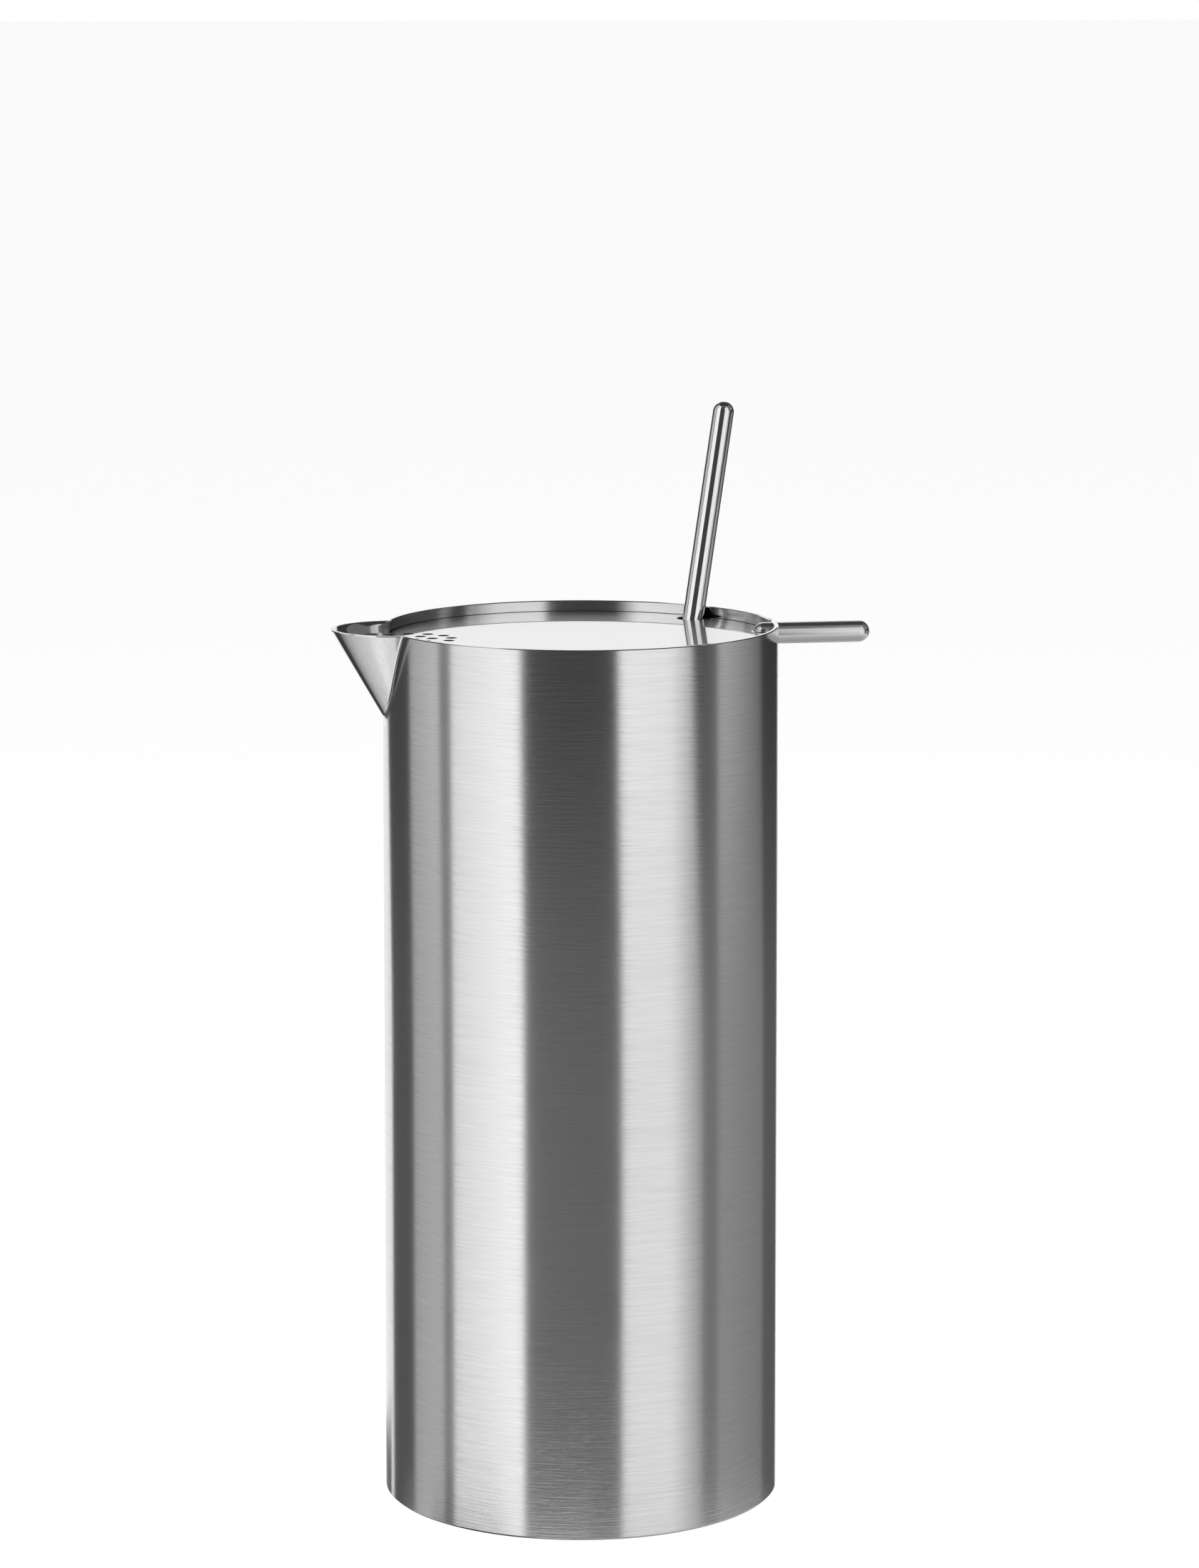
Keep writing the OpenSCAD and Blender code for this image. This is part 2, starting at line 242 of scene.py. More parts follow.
def make_piece(name, body, node, surface, kinds, material_rows=None):
    """Piece of the pitcher, with doubles merged, faces turned outward and edges past CREASE sharp.

    Its faces have the first finish of kinds, or the one that material_rows gives. It sits at the origin,
    rides on a body and stands for its CAD node."""
    piece = mesh_object(name, surface, [steel(kind) for kind in kinds])
    mesh = piece.data
    if material_rows is not None:
        mesh.polygons.foreach_set("material_index", np.asarray(material_rows, dtype=np.int32))
    work = bmesh.new()
    work.from_mesh(mesh)
    bmesh.ops.remove_doubles(work, verts=work.verts, dist=MERGE)
    bmesh.ops.dissolve_degenerate(work, edges=work.edges, dist=SLIVER)
    bmesh.ops.recalc_face_normals(work, faces=work.faces)
    work.to_mesh(mesh)
    work.free()
    mesh.shade_smooth()
    mesh.set_sharp_from_angle(angle=CREASE)
    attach(piece, body)
    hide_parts(node)
    return piece


def cone_values(sizes):
    """How far the spout's front goes out for each unit of height, the sheet's level thickness, and the height
    of the point where the front meets the wall."""
    slope = sizes.spout_reach / sizes.spout_drop
    level = sizes.spout_sheet / math.cos(math.atan(slope))
    return slope, level, sizes.height - sizes.spout_drop


def cone_circle(sizes, height, inset=0.0):
    """Centre on X and radius of the level section, r = root + g h + f (h / drop)^4 about x = r - R - s h."""
    slope, _, point = cone_values(sizes)
    rise = height - point
    radius = sizes.spout_root + (sizes.spout_lip - sizes.spout_root) * rise / sizes.spout_drop
    radius = radius + sizes.spout_flare * (rise / sizes.spout_drop) ** 4
    return radius - sizes.diameter / 2 - slope * rise, radius - inset


def cone_widening(sizes, height):
    """How much the level section's radius grows for each unit of height: g + 4 f h^3 / drop^4."""
    rise = (height - cone_values(sizes)[2]) / sizes.spout_drop
    return (sizes.spout_lip - sizes.spout_root + 4 * sizes.spout_flare * rise ** 3) / sizes.spout_drop


def meeting(centre, radius, outer):
    """X where a circle about (c, 0) of radius r meets the tube's of radius R, x = (R^2 + c^2 - r^2) / 2 c."""
    return (outer ** 2 + centre ** 2 - radius ** 2) / (2 * centre)


def cone_rise(sizes, radius, side, inset, count=400):
    """Height where the inset cone passes over a circle's points, by their distance from the XZ plane."""
    slope, _, point = cone_values(sizes)
    low = point + (inset - sizes.diameter / 2 + radius) / slope
    height = low + (sizes.height - low) * np.linspace(0, 1, count) ** 2
    meet = meeting(*cone_circle(sizes, height, inset), radius)
    return np.interp(np.abs(side), np.sqrt(np.maximum(radius ** 2 - meet ** 2, 0.0)), height)


def steps(*stops):
    """Angles in radians from stops of (degrees, steps to the next stop), each stop kept exactly."""
    runs = [np.linspace(low[0], high[0], low[1], endpoint=False) for low, high in zip(stops, stops[1:])]
    return np.radians(np.concatenate(runs + [[stops[-1][0]]]))


def wall_surface(sizes, notch_radius, notch_height):
    """Tube of points (r cos a, r sin a, z), closed at each angle a. Also tells which faces are the rim's.

    A point is cut at the lowest of the rim, the inside of the spout's cone where that passes over it, and the
    notch, z = zn - sqrt(rn^2 - y^2) where |y| < rn."""
    outer, inner = sizes.diameter / 2, sizes.diameter / 2 - sizes.wall
    level = cone_values(sizes)[1]
    notch_edge = math.degrees(math.asin(notch_radius / outer))
    half = steps((0, 14), (notch_edge, 204), (MOUTH_EDGE[0], 60), (MOUTH_EDGE[1], 90), (180.0, 1))
    edge = np.argmin(np.abs(half - math.radians(notch_edge)))
    # The notch's edge has two columns, one that ends in the notch and one that ends at the rim
    half = np.concatenate([half[:edge + 1], half[edge:]])
    inside_notch = np.arange(len(half)) <= edge
    turn = np.concatenate([half, 2 * np.pi - half[-2:0:-1]])
    inside_notch = np.concatenate([inside_notch, inside_notch[-2:0:-1]])
    bevel = sizes.rim_bevel
    rows = []
    for radius, height in ((inner, 0.0), (outer - sizes.foot_bevel, 0.0), (outer, sizes.foot_bevel),
                           (outer, sizes.height - bevel), (outer - bevel, sizes.height),
                           (inner + bevel, sizes.height), (inner, sizes.height - bevel)):
        # Inside the notch all radii share the same y, so that its two sides are flat
        across = outer * np.sin(turn)
        bent = np.arcsin(across / radius)
        angles = np.where(inside_notch, bent, turn)
        x, y = radius * np.cos(angles), radius * np.sin(angles)
        top = np.full(len(turn), height)
        if height > sizes.height / 2:
            over = cone_rise(sizes, radius, y, level)
            top = np.where(x < -outer / 2, np.minimum(top, over), top)
            drop = np.sqrt(np.maximum(notch_radius ** 2 - y ** 2, 0.0))
            top = np.where(inside_notch, np.minimum(top, notch_height - drop), top)
        rows.append(np.stack([x, y, top], axis=-1))
    rim = np.isin(np.repeat(np.arange(len(rows)), len(turn)), RIM_ROWS)
    return grid(np.array(rows), close_rows=True, close_columns=True), rim


def on_circle(centre, radius, turn, height):
    """Points (c - r cos a, r sin a, z) of level circles about (c, 0), with the angle a from their front."""
    turn, height = np.broadcast_arrays(turn, height)
    return np.stack([centre - radius * np.cos(turn), radius * np.sin(turn), height], axis=-1)


def spout_surface(sizes, count=40, across=120):
    """Spout in sheet, cut to the wall: level arcs from seam to seam, outside, over the lip and back inside.

    They are (c - r cos a, r sin a, z), with the level circle's c and r for their height z. The heights grow
    with the square of the row's number, because the seam is blunt at the point."""
    slope, level, point = cone_values(sizes)
    bevel, rim = sizes.rim_bevel, sizes.height

    def row(height, section=None, inset=0.0):
        """One arc at a height, with the circle of that height or of another section."""
        centre, radius = cone_circle(sizes, height if section is None else section, inset)
        end = seam_turn(sizes, centre, radius)
        return on_circle(centre, radius, end * np.linspace(-1, 1, across + 1), height)

    rise = np.linspace(0, 1, count) ** 2
    inner_point = point + level / slope
    outside = [row(z) for z in point + rise * (rim - bevel - point)]
    lip = [row(rim, rim, bevel), row(rim, rim, level - bevel)]
    inside = [row(z, inset=level) for z in inner_point + rise[::-1] * (rim - bevel - inner_point)]
    points, faces = grid(np.array(outside + lip + inside), close_rows=True)
    # Faces between outside and inside along the two seams
    last = 2 * count + 1
    ends = []
    for column in (0, across):
        number = np.arange(count) * (across + 1) + column
        opposite = (last - np.arange(count)) * (across + 1) + column
        ends += np.stack([number[:-1], number[1:], opposite[1:], opposite[:-1]], axis=-1).tolist()
        ends.append([(count + i) * (across + 1) + column for i in range(-1, 3)])
    return points, faces.tolist() + ends


def seam_turn(sizes, centre, radius):
    """Angle from the front of a level circle to where it meets the outside of the wall."""
    return np.arccos(np.clip((centre - meeting(centre, radius, sizes.diameter / 2)) / radius, -1.0, 1.0))


def bead_surface(sizes, steps_along=120, steps_across=8, swell=6, least_rise=0.05):
    """Weld bead: a section carried along the seam of cone and wall, from rim to rim.

    Its curve is (1 - t)^2 w + t^2 c, from the wall to the cone, and leaves both tangentially. w and c lie
    in the wall and in the cone, square to the seam, and grow towards the cone's point by (1 - u^2)^swell."""
    slope, _, point = cone_values(sizes)
    rim = sizes.height
    along = np.linspace(-1, 1, steps_along + 1)
    height = point + along ** 2 * (rim - point)
    centre, radius = cone_circle(sizes, height)
    turn = seam_turn(sizes, centre, radius) * np.sign(along)
    seam = on_circle(centre, radius, turn, height)
    wall_out = unit(seam * [1, 1, 0])
    level_out = np.stack([-np.cos(turn), np.sin(turn)], axis=-1)
    widening = cone_widening(sizes, height)
    lean = (slope - widening) * level_out[:, 0] - widening
    cone_out = unit(np.column_stack([level_out, lean]))
    both = np.sum(wall_out * cone_out, axis=1, keepdims=True)
    leg = sizes.bead + sizes.bead_point * (1 - along ** 2)[:, None] ** swell
    on_wall = unit(cone_out - both * wall_out) * leg
    on_cone = unit(wall_out - both * cone_out) * leg
    root = seam - sizes.bead_root * (wall_out + cone_out)
    t = np.linspace(0, 1, steps_across + 1)[None, :, None]
    curve = seam[:, None] + (1 - t) ** 2 * on_wall[:, None] + t ** 2 * on_cone[:, None]
    sections = np.concatenate([root[:, None], curve], axis=1)
    # Points above the rim slide back along the seam to it, and the two end sections lie in it
    run = np.cross(wall_out, cone_out)
    run = unit(run * np.where(run[:, 2:] < 0, -1, 1))
    over = rim - sections[..., 2]
    over[1:-1] = np.minimum(over[1:-1], 0.0)
    sections = sections + (over / np.maximum(run[:, 2:], least_rise))[..., None] * run[:, None, :]
    return capped(sections)


def arc(centre, radius, start, end, count=14):
    """Points on a circle in the plane, from one angle to another."""
    turn = np.linspace(start, end, count)
    return np.stack([centre[0] + radius * np.cos(turn), centre[1] + radius * np.sin(turn)], axis=-1)


def slot_outline(direction, end_distance, half_width, edge_radius):
    """A slot from the lid's edge inward, its round end, and back out, as seen going round the lid."""
    out = np.array([math.cos(direction), math.sin(direction)])
    left = np.array([-out[1], out[0]])
    to_edge = math.sqrt(edge_radius ** 2 - half_width ** 2)
    end = out * end_distance
    round_end = arc(end, half_width, direction - np.pi / 2, direction - 3 * np.pi / 2, count=33)
    first, last = (out * to_edge + left * side for side in (-half_width, half_width))
    return np.vstack([first, round_end, last])


def lid_outline(lid_radius, tongue, handle, notch, notch_width):
    """The lid's edge, counter-clockwise from the handle's slot, by the stirrer's notch and the tongue.

    Tongue is its circle's (centre on X, radius), handle the slot's (end, half width) and notch the notch's
    (direction, end)."""
    (axis_x, tongue_radius), (handle_end, handle_width), (notch_turn, notch_end) = tongue, handle, notch
    meet_x = meeting(axis_x, tongue_radius, lid_radius)
    meet_y = math.sqrt(lid_radius ** 2 - meet_x ** 2)
    meet, side = math.atan2(meet_y, meet_x), math.atan2(meet_y, meet_x - axis_x)
    handle_half = math.asin(handle_width / lid_radius)
    notch_half = math.asin(notch_width / lid_radius)
    centre = (0.0, 0.0)
    return np.concatenate([
        arc(centre, lid_radius, handle_half, notch_turn - notch_half, count=30)[1:-1],
        slot_outline(notch_turn, notch_end, notch_width, lid_radius),
        arc(centre, lid_radius, notch_turn + notch_half, meet, count=110)[1:],
        arc((axis_x, 0.0), tongue_radius, side, 2 * np.pi - side, count=80)[1:-1],
        arc(centre, lid_radius, -meet, -handle_half, count=150)[:-1],
        slot_outline(0.0, handle_end, handle_width, lid_radius),
    ])


def strainer_centres(sizes, rings=2, first_ring=6):
    """One hole in the middle, then rings that each have six more than the last."""
    centres = [(0.0, 0.0)]
    for ring in range(1, rings + 1):
        turn = np.arange(ring * first_ring) * 2 * np.pi / (ring * first_ring)
        centres += list(zip(ring * sizes.hole_step * np.cos(turn), ring * sizes.hole_step * np.sin(turn)))
    return np.array(centres)


def at_height(outline, height):
    """An outline's (x, y) points at one height."""
    return np.column_stack([outline, np.full(len(outline), height)])


def rings_to_wall(rings, heights):
    """Side wall through outlines of equal length, one at each height."""
    levels = [at_height(ring, height) for ring, height in zip(rings, heights)]
    return grid(np.array(levels), close_columns=True)


def lid_surface(vessel, sizes, hole_steps=40):
    """Flat plate: its outer edge and each hole are walls of outlines with a small bevel, and two flat faces
    fill what lies between the outlines. Also tells which of its faces are the holes'."""
    low, high = LID_BOX[0].z, LID_BOX[1].z
    outer, bevel = vessel.diameter / 2, sizes.bevel
    slope, level, _ = cone_values(vessel)
    lid_radius = outer - vessel.wall - sizes.gap
    inset = level + sizes.tongue_gap / math.cos(math.atan(slope))
    tongue_low, tongue_high = cone_circle(vessel, low, inset), cone_circle(vessel, high, inset)
    tongue_top = cone_circle(vessel, high, inset + bevel)
    handle = (HANDLE_BOX[0].x + HANDLE_RADIUS, HANDLE_RADIUS)
    notch = stirrer_notch(sizes)
    tongues = ((bevel, tongue_low), (0.0, tongue_low), (0.0, tongue_high), (bevel, tongue_top))
    edge = [lid_outline(lid_radius - back, tongue, handle, notch, sizes.slot + back)
            for back, tongue in tongues]
    parts = [rings_to_wall(edge, [low, low + bevel, high - bevel, high])]
    first_hole = len(parts[0][1])
    low_loops, high_loops = [edge[0]], [edge[3]]
    middle = np.array([sizes.hole_inset - outer, 0.0])
    radius, broken = sizes.hole / 2, sizes.hole_bevel
    for centre in strainer_centres(sizes) + middle:
        wide, narrow = (arc(centre, r, 2 * np.pi, 0, hole_steps + 1)[:-1] for r in (radius + broken, radius))
        parts.append(rings_to_wall([wide, narrow, narrow, wide], [low, low + broken, high - broken, high]))
        low_loops.append(wide)
        high_loops.append(wide)
    first_flat = sum(len(faces) for _, faces in parts)
    for loops, height in ((low_loops, low), (high_loops, high)):
        flat = [at_height(loop, height) for loop in loops]
        parts.append((np.concatenate(flat), np.array(tessellate_polygon([loop.tolist() for loop in flat]))))
    points, faces = joined(parts)
    number = np.arange(len(faces))
    return (points, faces), (number >= first_hole) & (number < first_flat)


def joined(parts):
    """Points and faces of several parts as one list each."""
    starts = np.cumsum([0] + [len(points) for points, _ in parts[:-1]])
    faces = [[int(i) + start for i in face] for start, (_, part) in zip(starts, parts) for face in part]
    return np.concatenate([points for points, _ in parts]), faces


def revolved(profile, columns=ROD_COLUMNS):
    """Profile of (radius, height) points turned round the Z axis: (r cos a, r sin a, z)."""
    profile = np.asarray(profile, float)
    turn = np.arange(columns) * 2 * np.pi / columns
    return polar(profile[:, :1], turn[None, :], profile[:, 1:])


def capsule_surface(start, end, radius):
    """Rod with half-ball ends along Z, from tip to tip, as a turned profile."""
    low = arc((0, start + radius), radius, -np.pi / 2, 0)
    high = arc((0, end - radius), radius, 0, np.pi / 2)
    return revolved(np.concatenate([low, high]))


def stirrer_axes():
    """The stirrer's own X, Y and Z directions: Z up the rod, X away from the bowl's hollow side."""
    up = np.array(STIRRER_AXIS, float)
    side = unit(np.array([-up[1], up[0], 0.0]))
    return np.cross(side, up), side, up


def stirrer_notch(sizes):
    """Direction of the stirrer's lean, and how far from the axis the notch's round end is centred."""
    stirrer, vessel = bpy.context.scene.pitcher_stirrer, bpy.context.scene.pitcher_vessel
    up = stirrer_axes()[2]
    rise = LID_BOX[1].z - vessel.base - stirrer.lift - stirrer.bowl
    level = math.hypot(up[0], up[1])
    return math.atan2(up[1], up[0]), rise * level / up[2] - stirrer.foot - sizes.slot_inset


def to_stirrer(points, sizes, vessel):
    """Points of the stirrer's own frame, put in place: origin + x X + y Y + z Z."""
    x_axis, y_axis, z_axis = stirrer_axes()
    level = unit(np.array([z_axis[0], z_axis[1], 0.0]))
    origin = -sizes.foot * level + np.array([0, 0, vessel.base + sizes.lift + sizes.bowl])
    return origin + points[..., :1] * x_axis + points[..., 1:2] * y_axis + points[..., 2:] * z_axis


def ball_centre(sizes):
    """How far the centre of the bowl's ball lies behind the bowl's mouth."""
    return math.sqrt(sizes.ball ** 2 - sizes.bowl ** 2)


def on_ball(radius, sizes, above=0.0):
    """Ring round the rod's axis at a height above the bowl's ball, z^2 = B^2 - (x + c)^2 - y^2."""
    ring = polar(radius, np.arange(ROD_COLUMNS) * 2 * np.pi / ROD_COLUMNS, 0.0)
    ring[:, 2] = np.sqrt(sizes.ball ** 2 - (ring[:, 0] + ball_centre(sizes)) ** 2 - ring[:, 1] ** 2) + above
    return ring


def node_group(name, inputs, outputs):
    """Empty shader group with named sockets; inputs are (name, kind, default)."""
    group = bpy.data.node_groups.new(name, "ShaderNodeTree")
    for label, kind, default in inputs:
        socket = group.interface.new_socket(name=label, in_out="INPUT", socket_type=kind)
        if default is not None:
            socket.default_value = default
    for label, kind in outputs:
        group.interface.new_socket(name=label, in_out="OUTPUT", socket_type=kind)
    return group, group.nodes.new("NodeGroupInput"), group.nodes.new("NodeGroupOutput")


def add_node(tree, kind, inputs=None, **settings):
    """Outputs of a new node with its settings, and with each input linked to a socket or set to a value."""
    node = tree.nodes.new("ShaderNode" + kind)
    for key, value in settings.items():
        setattr(node, key, value)
    for key, value in (inputs or {}).items():
        if isinstance(value, bpy.types.NodeSocket):
            tree.links.new(value, node.inputs[key])
        else:
            node.inputs[key].default_value = value
    return node.outputs


def map_range(tree, value, source, target):
    """A value's range, from low to high, moved to another one, without going past its ends."""
    ends = {"From Min": source[0], "From Max": source[1], "To Min": target[0], "To Max": target[1]}
    return add_node(tree, "MapRange", {"Value": value, **ends})["Result"]


def math_node(tree, operation, first, second, **settings):
    """The result of an operation on two values."""
    return add_node(tree, "Math", {0: first, 1: second}, operation=operation, **settings)[0]


def noise(tree, place, scale, detail, roughness):
    """Noise between 0 and 1 at a place."""
    inputs = {"Vector": place, "Scale": scale, "Detail": detail, "Roughness": roughness}
    return add_node(tree, "TexNoise", inputs)["Fac"]


def from_axis(tree, place):
    """A place's distance from the Z axis, and its height."""
    apart = add_node(tree, "SeparateXYZ", {"Vector": place})
    flat = add_node(tree, "CombineXYZ", {"X": apart["X"], "Y": apart["Y"]})["Vector"]
    return add_node(tree, "VectorMath", {0: flat}, operation="LENGTH")["Value"], apart["Z"]


def multiplied(tree, first, second, factor=1.0):
    """The first colour times the second, as far as the factor says."""
    inputs = {"Factor": factor, "A": first, "B": second}
    return add_node(tree, "Mix", inputs, data_type="RGBA", blend_type="MULTIPLY")["Result"]


def grain_group(usual=(0.6, 1.4), broad=0.4):
    """Brush marks: fine streaks and broader ones, as a shade, a change of roughness and a height."""
    group, start, end = node_group("brush_marks", [("Vector", VECTOR, None)],
                                   [("Shade", FLOAT), ("Roughness", FLOAT), ("Height", FLOAT)])
    place = start.outputs["Vector"]
    fine = noise(group, place, scale=1.0, detail=4.0, roughness=0.7)
    wider = add_node(group, "VectorMath", {0: place, "Scale": broad}, operation="SCALE")["Vector"]
    streaks = noise(group, wider, scale=1.0, detail=2.0, roughness=0.5)
    both = math_node(group, "ADD", fine, streaks)
    group.links.new(map_range(group, both, usual, (0.90, 1.05)), end.inputs["Shade"])
    group.links.new(map_range(group, both, usual, (0.025, -0.025)), end.inputs["Roughness"])
    group.links.new(both, end.inputs["Height"])
    return group


def handling_group():
    """Soft clouding left by hands and cloths, as a change of roughness."""
    group, start, end = node_group("handling", [("Vector", VECTOR, None), ("Amount", FLOAT, 0.02)],
                                   [("Roughness", FLOAT)])
    cloud = noise(group, start.outputs["Vector"], scale=45.0, detail=3.0, roughness=0.55)
    level = map_range(group, cloud, (0.35, 0.65), (-1.0, 1.0))
    group.links.new(math_node(group, "MULTIPLY", level, start.outputs["Amount"]), end.inputs["Roughness"])
    return group


def painted_gap_shade_group(shade=0.35):
    """Painted shade: a fine dark line inside a tube, standing for the shade of the gap at a lid's edge,
    within Radius, from Low to High.
    """
    inputs = [("Vector", VECTOR, None), ("Radius", FLOAT, 1.0), ("Low", FLOAT, 0.0), ("High", FLOAT, 0.0),
              ("Color", COLOUR, None)]
    group, start, end = node_group("painted_gap_line", inputs, [("Color", COLOUR)])
    given = start.outputs
    away, height = from_axis(group, given["Vector"])
    within = math_node(group, "LESS_THAN", away, given["Radius"])
    above = math_node(group, "GREATER_THAN", height, given["Low"])
    below = math_node(group, "LESS_THAN", height, given["High"])
    amount = math_node(group, "MULTIPLY", math_node(group, "MULTIPLY", above, below), within)
    # The darkened colour is painted shade of the gap at the lid's edge
    dark = multiplied(group, given["Color"], (shade, shade, shade, 1.0), amount)
    group.links.new(dark, end.inputs["Color"])
    return group


def shared_group(tree, name, maker, inputs):
    """Outputs of a node with the named group, which is made when it is first asked for."""
    group = bpy.data.node_groups.get(name) or maker()
    return add_node(tree, "Group", inputs, node_tree=group)


def empty_tree(owner):
    """The cleared node tree of a material or a world."""
    owner.use_nodes = True
    owner.node_tree.nodes.clear()
    return owner.node_tree


def metal(name, tint, roughness, scale, bump, clouding, anisotropy=0.0, tilt=0.0, radial=False, haze=0.0,
          gap_shade_band=None):
    """Bare metal with brush marks stretched by scale along the piece's own axes.

    Where radial is set the marks are rings, so they are read at (distance from Z, 0, 0). Haze is a share of
    blurred mirror over the clear one, as of fine scratches. gap_shade_band is the radius, low and high of a
    painted shade line: the shade of the gap where the lid's edge meets the wall."""
    mark_depth, haze_roughness = 0.02 * MM, 0.35
    material = bpy.data.materials.new(name)
    tree = empty_tree(material)
    place = add_node(tree, "TexCoord")["Object"]
    along = place
    if radial:
        along = add_node(tree, "CombineXYZ", {"X": from_axis(tree, place)[0]})["Vector"]
    mapping = {"Vector": along, "Rotation": (0.0, tilt, 0.0), "Scale": scale}
    mapped = add_node(tree, "Mapping", mapping)["Vector"]
    marks = shared_group(tree, "brush_marks", grain_group, {"Vector": mapped})
    hands = shared_group(tree, "handling", handling_group, {"Vector": place, "Amount": clouding})
    shade = {channel: marks["Shade"] for channel in ("Red", "Green", "Blue")}
    grey = add_node(tree, "CombineColor", shade)["Color"]
    tinted = multiplied(tree, (*tint, 1.0), grey)
    # Painted shade: a dark line inside the wall where the lid's edge sits, standing for the shade of the gap
    if gap_shade_band:
        line = {"Vector": place, "Color": tinted, "Radius": gap_shade_band[0], "Low": gap_shade_band[1], "High": gap_shade_band[2]}
        tinted = shared_group(tree, "painted_gap_line", painted_gap_shade_group, line)["Color"]
    rough = math_node(tree, "ADD", marks["Roughness"], hands["Roughness"])
    rough = math_node(tree, "ADD", rough, roughness, use_clamp=True)
    relief = {"Height": marks["Height"], "Strength": bump, "Distance": mark_depth}
    normal = add_node(tree, "Bump", relief)["Normal"]
    shader = add_node(tree, "BsdfPrincipled", {
        "Base Color": tinted, "Metallic": 1.0, "Roughness": rough, "Anisotropic": anisotropy,
        "Coat Weight": haze, "Coat Roughness": haze_roughness, "Normal": normal})
    add_node(tree, "OutputMaterial", {"Surface": shader["BSDF"]})
    return material


def steel(kind):
    """The metal finish of one kind of piece, made once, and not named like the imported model's materials."""
    name = "metal_" + kind
    found = bpy.data.materials.get(name)
    if found:
        return found
    finish = bpy.context.scene.pitcher_finish
    round_marks, fine_marks = (200.0, 200.0, 6500.0), (900.0, 900.0, 900.0)
    lean = math.atan2(math.hypot(STIRRER_AXIS[0], STIRRER_AXIS[1]), STIRRER_AXIS[2])
    # Painted shade of the gap at the lid's edge, a dark line: its radius ends within the wall's sheet, so
    # that only the wall's inside has the line
    lid_top, depth, below, above = LID_BOX[1].z, 0.6 * MM, 0.1 * MM, 0.12 * MM
    gap_shade_band = (WALL_BOX[1].y - depth, lid_top - below, lid_top + above)
    # Painted shade: the strainer holes' walls are near black for the shade inside the holes; only their
    # roughness is a cut edge's
    hole_shade = (0.1, 0.1, 0.1)
    # Tint, roughness, how dense the marks are along X, Y and Z, bump, clouding, and what else a finish has
    finishes = {
        "brushed_body": (finish.body, finish.body_rough, round_marks, 0.25, 0.008,
                         {"anisotropy": 0.6, "gap_shade_band": gap_shade_band}),
        "polished_rim": (finish.weld, 0.14, round_marks, 0.1, 0.01, {}),
        "turned_base": (finish.base, 0.3, (4200.0, 0.0, 0.0), 0.4, 0.02, {"radial": True}),
        "satin_spout": (finish.spout, finish.spout_rough, (2500.0, 2500.0, 400.0), 0.05, 0.006, {}),
        "polished_weld": (finish.weld, 0.13, fine_marks, 0.1, 0.02, {}),
        "polished_lid": (finish.lid, finish.lid_rough, (200.0, 4000.0, 60.0), 0.005, 0.008, {"haze": 0.8}),
        "shaded_hole_wall": (hole_shade, 0.5, fine_marks, 0.3, 0.03, {}),
        "satin_handle": (finish.handle, finish.handle_rough, (60.0, 5200.0, 5200.0), 0.3, 0.015, {}),
        "polished_stirrer": (finish.stirrer, finish.stirrer_rough, (3000.0, 3000.0, 60.0), 0.03, 0.008,
                             {"tilt": lean}),
        "silver_braze": (finish.braze, 0.3, fine_marks, 0.2, 0.03, {}),
    }
    *values, more = finishes[kind]
    return metal(name, *values, **more)


class PitcherOperator:
    """What the pitcher's operators share"""

    bl_options = {"REGISTER", "UNDO"}


class PITCHER_OT_wall(PitcherOperator, bpy.types.Operator):
    """Make the brushed tube with its polished rim, the spout's mouth and the handle's notch"""

    bl_idname = "pitcher.wall"
    bl_label = "Wall"

    def execute(self, context):
        sizes, lid = context.scene.pitcher_vessel, context.scene.pitcher_lid
        surface, rim = wall_surface(sizes, HANDLE_RADIUS + lid.handle_gap, HANDLE_HEIGHT)
        kinds = ["brushed_body", "polished_rim"]
        make_piece("body_wall", "vessel", "vessel_wall", surface, kinds, rim)
        return {"FINISHED"}


class PITCHER_OT_base(PitcherOperator, bpy.types.Operator):
    """Make the base plate with its turned underside, and the weld inside the foot"""

    bl_idname = "pitcher.base"
    bl_label = "Base"

    def execute(self, context):
        sizes = context.scene.pitcher_vessel
        inner, leg = sizes.diameter / 2 - sizes.wall, sizes.base_weld
        edge = [(0, 0), (inner - sizes.base_bevel, 0), (inner, sizes.base_bevel), (inner, sizes.base),
                (0, sizes.base)]
        plate = grid(revolved(edge, FOOT_COLUMNS), close_columns=True)
        make_piece("foot_plate", "vessel", "base_plate", plate, ["turned_base"])
        hollow = arc((inner - leg, sizes.base + leg), leg, -np.pi / 2, 0, count=10)
        fillet = revolved(np.vstack([[inner, sizes.base], hollow]), FOOT_COLUMNS)
        weld = grid(fillet, close_rows=True, close_columns=True)
        make_piece("foot_weld", "vessel", "base_weld", weld, ["polished_weld"])
        return {"FINISHED"}


class PITCHER_OT_spout(PitcherOperator, bpy.types.Operator):
    """Make the half-cone spout and the polished bead along its seam"""

    bl_idname = "pitcher.spout"
    bl_label = "Spout"

    def execute(self, context):
        sizes = context.scene.pitcher_vessel
        shell, bead = spout_surface(sizes), bead_surface(sizes)
        make_piece("spout_shell", "vessel", "spout_cone", shell, ["satin_spout"])
        make_piece("spout_bead", "vessel", "spout_weld", bead, ["polished_weld"])
        return {"FINISHED"}


class PITCHER_OT_lid(PitcherOperator, bpy.types.Operator):
    """Make the polished lid with its tongue, strainer holes, handle slot and stirrer notch"""

    bl_idname = "pitcher.lid"
    bl_label = "Lid"

    def execute(self, context):
        surface, cut = lid_surface(context.scene.pitcher_vessel, context.scene.pitcher_lid)
        # The holes' walls take the near-black finish that paints the shade inside the holes
        make_piece("lid_disc", "lid", "lid_plate", surface, ["polished_lid", "shaded_hole_wall"], cut)
        return {"FINISHED"}


